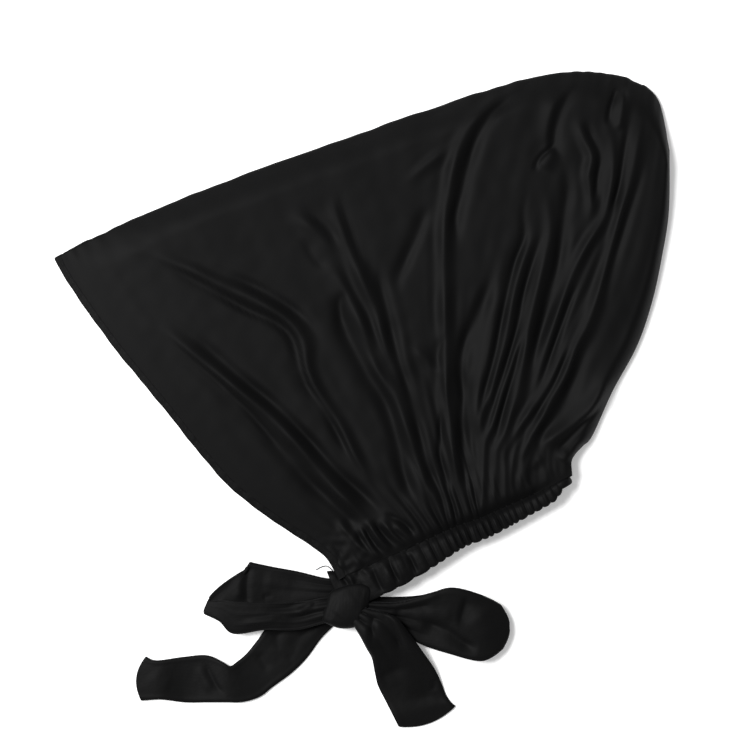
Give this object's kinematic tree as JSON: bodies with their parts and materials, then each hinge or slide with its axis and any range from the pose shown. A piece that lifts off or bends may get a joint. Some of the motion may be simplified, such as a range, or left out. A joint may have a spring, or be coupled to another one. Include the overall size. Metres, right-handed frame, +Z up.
{
  "type": "underscarf cap",
  "caption": "Black jersey underscarf cap: a flat-lying hood of side panels with a stitched face hem, a gathered elastic neck casing and ties knotted in a bow.",
  "frame": {"origin": "middle of the footprint, on the surface that the cap lies on", "axes": "+Z up from the surface, +Y from the ties towards the crown of the head, +X from the face opening towards the back of the head"},
  "size_m": [0.3796, 0.4064, 0.0217],
  "materials": {
    "panel_jersey": "matte jersey",
    "hem_jersey": "matte jersey, turned and stitched",
    "casing_jersey": "matte jersey, gathered",
    "tie_jersey": "matte jersey"
  },
  "bodies": {
    "root": {"left_side_panel": "panel_jersey", "right_side_panel": "panel_jersey", "face_hem": "hem_jersey", "neck_casing": "casing_jersey", "tie_knot": "tie_jersey", "bow_loop_left": "tie_jersey", "bow_loop_right": "tie_jersey", "tie_tail_left": "tie_jersey", "tie_tail_right": "tie_jersey"}
  },
  "joints": []
}
